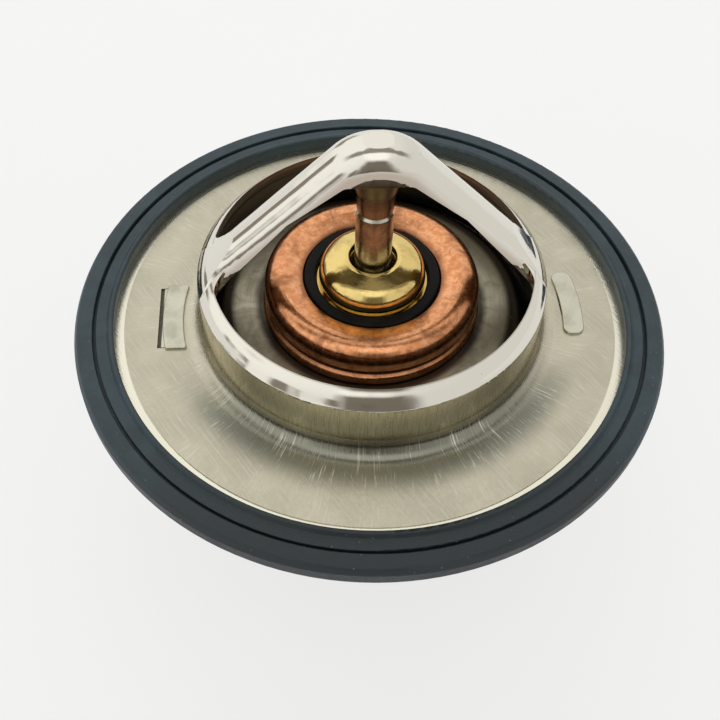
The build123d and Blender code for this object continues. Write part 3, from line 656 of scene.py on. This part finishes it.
def seat_line():
    """Low dark bead round the valve disc's cone, along the line where it meets its seat: a dark thing
    standing for the shade in the seat gap.
    """
    along = Vector((1, 0, -1)).normalized()
    outward = Vector((1, 0, 1)).normalized()
    middle = Vector((SEAT_LINE_R, 0, SEAT_LINE_Z))
    profile = [middle + along * run + outward * rise for run, rise in SEAT_LINE_PROFILE]
    turns = [Matrix.Rotation(2 * math.pi * step / SEAT_LINE_STEPS, 3, "Z") for step in range(SEAT_LINE_STEPS)]
    points = [turn @ point * MM for turn in turns for point in profile]
    count = len(profile)
    faces = []
    for step in range(SEAT_LINE_STEPS):
        here, following = step * count, (step + 1) % SEAT_LINE_STEPS * count
        for side in range(count):
            beside = (side + 1) % count
            faces.append((here + side, here + beside, following + beside, following + side))
    mesh = bpy.data.meshes.new("seat_line")
    mesh.from_pydata(points, [], faces)
    mesh.validate()
    for face in mesh.polygons:
        face.use_smooth = True
    # Black material of the bead that stands for shade in the seat gap.
    mesh.materials.append(black_rubber("seat_gap_shade"))
    line = bpy.data.objects.new("seat_line", mesh)
    bpy.context.scene.collection.objects.link(line)
    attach(line, "valve")


def slot_shade_paint(name):
    """Dull olive colour of the painted shade in the tab slots."""
    shade = Shade(name)
    grain = shade.noise(shade.place, 3.0, 4.0, 0.6)
    base = shade.mix(shade.band(grain, 0.4, 0.7), SLOT_SHADE_COLOR, SLOT_SHADE_LIGHTER)
    return shade.finish(base, shade.band(grain, 0.3, 0.7, 0.6, 0.8), 0.0, shade.bump(grain, 0.03))


def slot_shade_filler(name, near_x, far_x):
    """Dark filler in the clearance beside one tab, with an uneven top, standing for shade in the slot."""
    mesh = bpy.data.meshes.new(name)
    points = []
    for step in range(SLOT_SHADE_STEPS + 1):
        y = SLOT_SHADE_HALF * (2 * step / SLOT_SHADE_STEPS - 1)
        top = SLOT_SHADE_TOP + SLOT_SHADE_UNEVEN * chance.uniform(-1, 1)
        points += [(near_x, y, SLOT_SHADE_LOW), (far_x, y, SLOT_SHADE_LOW), (far_x, y, top), (near_x, y, top)]
    faces = [(0, 1, 2, 3), tuple(4 * SLOT_SHADE_STEPS + corner for corner in (3, 2, 1, 0))]
    for step in range(SLOT_SHADE_STEPS):
        for side in range(4):
            beside = (side + 1) % 4
            faces.append((4 * step + beside, 4 * step + side, 4 * step + 4 + side, 4 * step + 4 + beside))
    mesh.from_pydata([Vector(point) * MM for point in points], [], faces)
    mesh.materials.append(slot_shade_paint(name))
    slot_shade_block = bpy.data.objects.new(name, mesh)
    bpy.context.scene.collection.objects.link(slot_shade_block)
    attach(slot_shade_block, "housing_frame")


# ---------------------------------------------------------------- studio
def camera_axes():
    """Right, up and forward of the camera in the part's frame."""
    forward = Vector((0, math.cos(CAMERA_ELEVATION), -math.sin(CAMERA_ELEVATION)))
    right = Vector((1, 0, 0))
    up = Vector((0, math.sin(CAMERA_ELEVATION), math.cos(CAMERA_ELEVATION)))
    rolled_right = math.cos(CAMERA_ROLL) * right + math.sin(CAMERA_ROLL) * up
    rolled_up = -math.sin(CAMERA_ROLL) * right + math.cos(CAMERA_ROLL) * up
    turn = Matrix.Rotation(CAMERA_TURN, 3, "Z")
    return turn @ rolled_right, turn @ rolled_up, turn @ forward


def add_camera():
    """Camera at the viewing angle of the photograph."""
    right, up, forward = camera_axes()
    centre = FRAME_PIXELS / 2
    across = (ORIGIN_PIXEL[0] - centre) / FOCAL_PIXELS * CAMERA_DISTANCE
    above = (centre - ORIGIN_PIXEL[1]) / FOCAL_PIXELS * CAMERA_DISTANCE
    place = -(CAMERA_DISTANCE * forward + across * right + above * up) * MM
    data = bpy.data.cameras.new("camera")
    data.sensor_width = SENSOR_WIDTH
    data.lens = FOCAL_PIXELS / FRAME_PIXELS * SENSOR_WIDTH
    data.clip_start = CLIP_START * MM
    camera = bpy.data.objects.new("camera", data)
    camera.matrix_world = Matrix((
        (right.x, up.x, -forward.x, place.x),
        (right.y, up.y, -forward.y, place.y),
        (right.z, up.z, -forward.z, place.z),
        (0, 0, 0, 1),
    ))
    bpy.context.scene.collection.objects.link(camera)
    bpy.context.scene.camera = camera


def floor_material():
    """White paper that shows the same white to camera and metal, and keeps the part's shadow."""
    shade = Shade("floor_white")
    fibre = shade.noise(shade.place, 0.05, 3.0, 0.5)
    color = shade.mix(fibre, PAPER_COLOR, PAPER_LIGHT)
    shade.finish(color, 0.7, 0.0)
    nodes = shade.tree.nodes
    glow = nodes.new("ShaderNodeEmission")
    glow.inputs["Color"].default_value = (*FLOOR_WHITE, 1.0)
    rays = nodes.new("ShaderNodeLightPath")
    seen = shade.math("MAXIMUM", rays.outputs["Is Camera Ray"], rays.outputs["Is Glossy Ray"])
    seen = shade.math("MAXIMUM", seen, rays.outputs["Is Transmission Ray"])
    blend = nodes.new("ShaderNodeMixShader")
    shade.put(blend.inputs["Fac"], shade.times(seen, FLOOR_GLOW))
    shade.put(blend.inputs[1], shade.surface.outputs["BSDF"])
    shade.put(blend.inputs[2], glow.outputs["Emission"])
    shade.put(shade.output.inputs["Surface"], blend.outputs["Shader"])
    return shade.material


def add_floor():
    """Pale floor under the part's lowest point."""
    half = FLOOR_SIZE / 2 * MM
    z = cad_low[2]
    mesh = bpy.data.meshes.new("floor")
    corners = [(-half, -half, z), (half, -half, z), (half, half, z), (-half, half, z)]
    mesh.from_pydata(corners, [], [(0, 1, 2, 3)])
    floor = bpy.data.objects.new("floor", mesh)
    bpy.context.scene.collection.objects.link(floor)
    mesh.materials.append(floor_material())


def sky_direction(turn, rise):
    """Unit direction at an angle from +X and a height over the horizon."""
    return (math.cos(rise) * math.cos(turn), math.cos(rise) * math.sin(turn), math.sin(rise))


def add_world():
    """Bright room: window and dark things on the left, beam overhead, ceiling light above a person.

    The camera itself sees a plain backdrop instead of the room.
    """
    world = bpy.data.worlds.new("studio")
    bpy.context.scene.world = world
    world.use_nodes = True
    room = Nodes(world.node_tree)
    toward = room.tree.nodes.new("ShaderNodeTexCoord").outputs["Generated"]
    x, y, z = room.split(toward)
    near_window = room.closeness(toward, sky_direction(WINDOW_TURN, WINDOW_RISE))
    window = room.band(near_window, math.cos(WINDOW_OUTER), math.cos(WINDOW_INNER))
    light = room.mix(window, ROOM_COLOR, WINDOW_COLOR)

    streaks = room.noise(room.combine(x, y, 0.0), THINGS_SCALE, 2.0, 0.5)
    things = room.times(room.band(streaks, 0.42, 0.58), room.band(z, THINGS_TOP, THINGS_TOP / 2))
    things = room.times(things, room.band(x, *THINGS_SIDE))
    light = room.mix(room.times(things, THINGS_SHARE), light, THINGS_COLOR)

    near_ceiling = room.closeness(toward, sky_direction(-math.pi / 2, CEILING_RISE))
    ceiling = room.band(near_ceiling, math.cos(CEILING_OUTER), math.cos(CEILING_INNER))
    light = room.mix(ceiling, light, CEILING_COLOR)

    front_edge, front_full, back_full, back_edge = BEAM_EDGES
    beam = room.times(room.band(y, front_edge, front_full), room.band(y, back_edge, back_full))
    beam = room.times(beam, room.band(z, *BEAM_RISE))
    light = room.mix(room.times(beam, BEAM_SHARE), light, BEAM_COLOR)

    ahead = room.math("MAXIMUM", room.times(y, -1.0), 0.01)
    across = room.math("ABSOLUTE", room.math("DIVIDE", x, ahead))
    person = room.band(across, PERSON_HALF + PERSON_SOFT, PERSON_HALF - PERSON_SOFT)
    person = room.times(person, room.band(z, PERSON_TOP + PERSON_EDGE, PERSON_TOP - PERSON_EDGE))
    light = room.mix(room.times(person, PERSON_SHARE), light, PERSON_COLOR)
    seen = room.tree.nodes.new("ShaderNodeLightPath").outputs["Is Camera Ray"]
    light = room.mix(seen, light, BACKDROP_COLOR)
    room.put(room.tree.nodes["Background"].inputs["Color"], light)


paint("flange_and_bridge", stamping_steel())
paint("lower_frame", frame_steel())
paint("valve_disc", disc_steel("valve_steel", DISC_COLOR, DISC_SHADE, VALVE_UNSHADED_R))
paint("bypass_disc", disc_steel("bypass_steel", BYPASS_COLOR, BYPASS_SHADE, BYPASS_UNSHADED_R))
paint("wax_cup", copper())
paint("brass_guide", brass())
paint("piston_pin", pin_steel("pin_steel", PIN_COLOR, PIN_SHADE))
stem = pin_steel("stem_steel", STEM_COLOR, STEM_SHADE)
paint("bypass_stem", stem)
paint("stem_clip", stem)
paint("rim_gasket", gasket_rubber())
paint("seal_ring", black_rubber("seal_rubber"))
paint("rubber_sleeve", black_rubber("sleeve_rubber"))
paint("backup_washer", washer_plastic())
paint("wax_charge", filled_wax())
wire = spring_steel("spring_steel")
soft_spring(
    "main_spring", wire, "housing_frame",
)
soft_spring(
    "bypass_spring", wire, "valve",
)

seat_line()
# Dark fillers standing for shade in the tab slots.
slot_shade_filler("slot_grime_left", *SLOT_SHADE_LEFT_X)
slot_shade_filler("slot_grime_right", *SLOT_SHADE_RIGHT_X)

add_camera()
add_floor()
add_world()
bpy.context.scene.view_settings.view_transform = "Standard"
